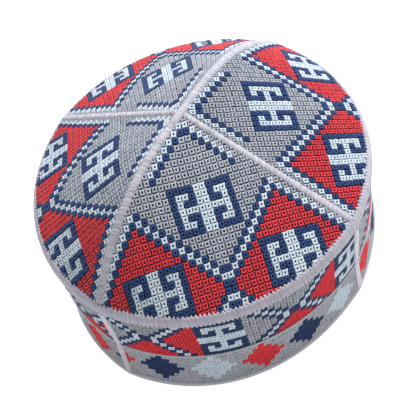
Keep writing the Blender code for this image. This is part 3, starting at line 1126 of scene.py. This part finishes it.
def round_the_cap(name, node, section, steps, height, ripple, material, slot, span=None):
    """Sweeps a section round the side, or over a span of angles. section holds (outward, upward) pairs."""
    start, stop = span or (0.0, 2 * math.pi)
    angle = np.linspace(start, stop, steps, endpoint=span is not None)
    outward = np.stack([np.cos(angle), np.sin(angle), 0 * angle], -1)
    section = np.asarray(section, float)
    wave = ripple * (-1.0) ** np.arange(steps)[:, None]
    swell = 1 + wave + SWELL_VARIES * uneven(steps, 1)
    offset, lift = section[:, 0] * swell, section[:, 1] * swell
    rings = wall_point(angle, height)[:, None] + outward[:, None] * offset[..., None]
    rings = rings + np.array([0, 0, 1.0]) * lift[..., None]
    # Painted shade and light follow the rings' ripple.
    tone = np.clip(MIDDLE_TONE + ROUND_TONE_VARIES * uneven(steps, 1) + RIPPLE_SHADE * wave, 0, 1)
    twist = np.linspace(0, 1, len(section), endpoint=False)
    marks = twist, angle[:, None] * SIDE_RADIUS * PATTERN_PER_MM, tone
    sweep(name, material, rings, marks, node, joined=span is None)


def piping():
    turn = 2 * math.pi * np.arange(PIPING_SIDES) / PIPING_SIDES
    section = np.stack([PIPING_RADIUS * np.cos(turn) + PIPING_OUT, PIPING_RADIUS * np.sin(turn)], -1)
    half = QUARTER / 2 - PIPING_GAP
    for name, degrees in QUARTERS.items():
        middle = math.radians(degrees)
        round_the_cap(
            "piping_cord_" + name,
            "piping_" + name,
            section,
            PIPING_STEPS,
            PIPING,
            PIPING_RIPPLE,
            PIPING_SATIN,
            "piping_satin",
            (middle - half, middle + half),
        )


def bound_edge():
    shape = EDGE_SECTION, EDGE_STEPS, BOTTOM, EDGE_RIPPLE
    round_the_cap("bound_edge", "bottom_binding", *shape, BINDING, "binding")


for quarter in QUARTERS:
    crown_panel(quarter)
    side_piece("side", quarter, WALL_LAYOUT, wall_stitch, SIDE_STITCHES)
    side_piece("hem", quarter, HEM_LAYOUT, hem_stitch, HEM_STITCHES)
crown_seams()
side_seams()
rim_band()
piping()
bound_edge()


# Stage, light and camera. Lengths are in metres.

FLOOR_SIZE = 60.0
FLOOR_COLOUR, FLOOR_ROUGHNESS = (0.92, 0.92, 0.92, 1.0), 0.9
WHITE = (1.0, 1.0, 1.0, 1.0)
FLOOR_GLOW = 0.55
SURROUNDING_LIGHT = 0.68
KEY_PLACE, KEY_TARGET = Vector((0.02, 0.80, 1.15)), Vector((0, 0, 0.06))
KEY_SIZE, KEY_ENERGY = 0.6, 32.0

# The camera stands front right, high up, and is turned a little about its line of sight.
CAMERA_AZIMUTH = math.radians(47.023)
CAMERA_ELEVATION = math.radians(52.389)
CAMERA_ROLL = math.radians(-19.777)
CAMERA_DISTANCE = 0.52045
CAMERA_TARGET = Vector((0.0, 0.0, 0.045))
CAMERA_SHIFT = (0.0018, -0.01051)
FOCAL_SHARE = 946.43 / 416
SENSOR_MM = 36.0

scene = bpy.context.scene
scene.view_settings.view_transform = "Standard"

floor_shading = Shading("pale_floor")
floor_values = {"Base Color": FLOOR_COLOUR, "Roughness": FLOOR_ROUGHNESS, "Emission Color": WHITE}
floor_shading.fill(floor_shading.shader, {**floor_values, "Emission Strength": FLOOR_GLOW})
floor_mesh = bpy.data.meshes.new("floor")
half = FLOOR_SIZE / 2
corners = [(-half, -half, 0), (half, -half, 0), (half, half, 0), (-half, half, 0)]
floor_mesh.from_pydata(corners, [], [(0, 1, 2, 3)])
floor_mesh.materials.append(floor_shading.material)
floor = bpy.data.objects.new("floor", floor_mesh)
scene.collection.objects.link(floor)

world = bpy.data.worlds.new("studio")
world.use_nodes = True
background = world.node_tree.nodes["Background"]
background.inputs["Color"].default_value = WHITE
background.inputs["Strength"].default_value = SURROUNDING_LIGHT
scene.world = world

light = bpy.data.lights.new("key", "AREA")
light.shape = "DISK"
light.size = KEY_SIZE
light.energy = KEY_ENERGY
lamp = bpy.data.objects.new("key", light)
lamp.location = KEY_PLACE
lamp.rotation_euler = (KEY_TARGET - KEY_PLACE).to_track_quat("-Z", "Y").to_euler()
scene.collection.objects.link(lamp)

toward_camera = Vector(
    (
        math.sin(CAMERA_AZIMUTH) * math.cos(CAMERA_ELEVATION),
        -math.cos(CAMERA_AZIMUTH) * math.cos(CAMERA_ELEVATION),
        math.sin(CAMERA_ELEVATION),
    )
)
level_right = Vector((math.cos(CAMERA_AZIMUTH), math.sin(CAMERA_AZIMUTH), 0.0))
level_up = level_right.cross(-toward_camera)
right = level_right * math.cos(CAMERA_ROLL) + level_up * math.sin(CAMERA_ROLL)
above = level_up * math.cos(CAMERA_ROLL) - level_right * math.sin(CAMERA_ROLL)
camera_data = bpy.data.cameras.new("camera")
camera_data.sensor_width = SENSOR_MM
camera_data.lens = camera_data.sensor_width * FOCAL_SHARE
camera = bpy.data.objects.new("camera", camera_data)
place = CAMERA_TARGET + right * CAMERA_SHIFT[0] + above * CAMERA_SHIFT[1] + toward_camera * CAMERA_DISTANCE
camera.matrix_world = Matrix.Translation(place) @ Matrix((right, above, toward_camera)).transposed().to_4x4()
scene.collection.objects.link(camera)
scene.camera = camera
